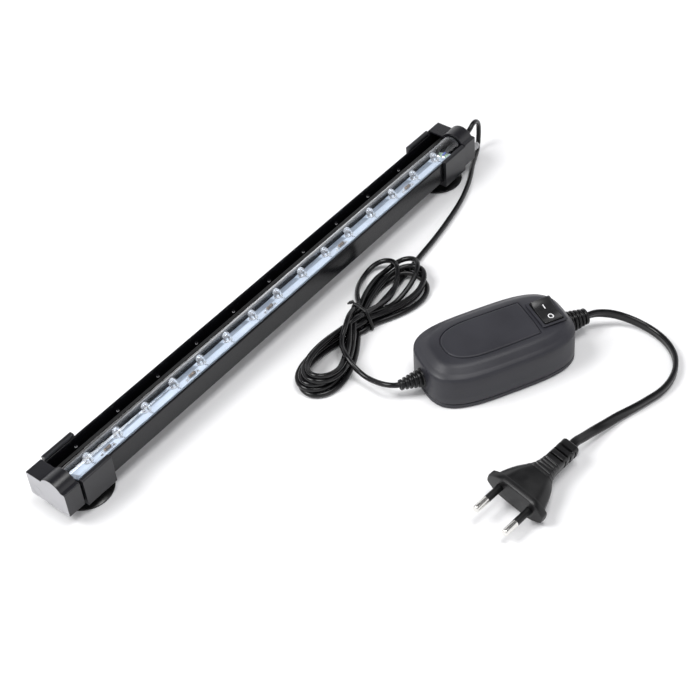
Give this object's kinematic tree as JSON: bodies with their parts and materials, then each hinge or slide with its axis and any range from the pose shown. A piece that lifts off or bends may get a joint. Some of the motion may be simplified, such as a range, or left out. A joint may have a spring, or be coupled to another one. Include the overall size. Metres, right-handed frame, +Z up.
{
  "type": "LED aquarium light",
  "caption": "Aquarium light bar with an air-curtain duct beside a clear LED tube, on suction-cup clips, with cord, in-line switched adapter and flat two-pin plug.",
  "frame": {"origin": "middle of the light bar, near cap to air nozzle tip, on the plane that the suction cups' rims rest on", "axes": "+X along the light bar towards the end its cord and air nozzle come out of, +Y towards the air duct's side, +Z up from the suction cups to the lamp"},
  "size_m": [0.3756, 0.2268, 0.0282],
  "materials": {
    "gloss_black": "glossy injection-moulded black plastic",
    "rubber_black": "soft black PVC or rubber with a dull sheen",
    "matte_grey": "fine-textured dark grey plastic",
    "clear": "clear acrylic or epoxy, polished",
    "board_white": "white solder mask",
    "board_green": "green solder mask",
    "resistor_tan": "lacquered resistor body with dark bands",
    "nickel": "nickel-plated brass",
    "steel": "zinc-plated steel",
    "wire_blue": "blue wire insulation",
    "nozzle_grey": "grey plastic",
    "copper": "enamelled copper wire",
    "ferrite": "dark sintered ferrite"
  },
  "bodies": {
    "light_bar": {"housing": "gloss_black", "air_duct": "gloss_black", "near_end_cap": "gloss_black", "far_end_cap": "gloss_black", "cord_gland": "rubber_black", "air_nozzle": "nozzle_grey", "adapter_cover": "matte_grey", "adapter_base": "matte_grey", "adapter_board": "board_green", "transformer_core": "ferrite", "transformer_winding": "copper", "input_capacitor": "gloss_black", "output_capacitor": "gloss_black", "switch_body": "gloss_black", "output_relief": "rubber_black", "mains_relief": "rubber_black", "base_screw_1": "steel", "base_screw_2": "steel", "lamp_cord_run": "rubber_black", "lamp_cord_hank": "rubber_black", "lamp_cord_tail": "rubber_black", "twist_tie": "rubber_black", "mains_cord": "rubber_black", "plug_body": "rubber_black", "plug_pin_left": "nickel", "plug_pin_right": "nickel", "pin_sleeve_left": "rubber_black", "pin_sleeve_right": "rubber_black"},
    "lamp": {"lamp_tube": "clear", "near_tube_plug": "rubber_black", "far_tube_plug": "rubber_black", "led_board": "board_white", "led_01": "clear", "led_02": "clear", "led_03": "clear", "led_04": "clear", "led_05": "clear", "led_06": "clear", "led_07": "clear", "led_08": "clear", "led_09": "clear", "led_10": "clear", "led_11": "clear", "led_12": "clear", "led_13": "clear", "led_14": "clear", "led_15": "clear", "resistor_1": "resistor_tan", "resistor_2": "resistor_tan", "resistor_3": "resistor_tan", "resistor_4": "resistor_tan", "resistor_5": "resistor_tan", "lead_wire_blue": "wire_blue", "lead_wire_black": "rubber_black"},
    "near_clip": {"near_bracket": "gloss_black"},
    "far_clip": {"far_bracket": "gloss_black"},
    "near_cup": {"near_suction_cup": "rubber_black"},
    "far_cup": {"far_suction_cup": "rubber_black"},
    "rocker": {"rocker": "gloss_black"}
  },
  "joints": [
    {"name": "lamp_aim", "type": "hinge", "parent": "light_bar", "child": "lamp", "pos_m": [-0.004, -0.0042, 0.0195], "axis": [1, 0, 0], "range_deg": [-20, 60]},
    {"name": "near_bracket_slide", "type": "slide", "parent": "light_bar", "child": "near_clip", "axis": [1, 0, 0], "range_m": [0, 0.08]},
    {"name": "far_bracket_slide", "type": "slide", "parent": "light_bar", "child": "far_clip", "axis": [1, 0, 0], "range_m": [-0.08, 0]},
    {"name": "near_cup_swivel", "type": "hinge", "parent": "near_clip", "child": "near_cup", "pos_m": [-0.159, 0, 0], "axis": [0, 0, 1], "continuous": true},
    {"name": "far_cup_swivel", "type": "hinge", "parent": "far_clip", "child": "far_cup", "pos_m": [0.151, 0, 0], "axis": [0, 0, 1], "continuous": true},
    {"name": "rocker_tilt", "type": "hinge", "parent": "light_bar", "child": "rocker", "pos_m": [0.0628, -0.13764, 0.0242], "axis": [-0.8829, 0.4695, 0], "range_deg": [0, 13]}
  ]
}
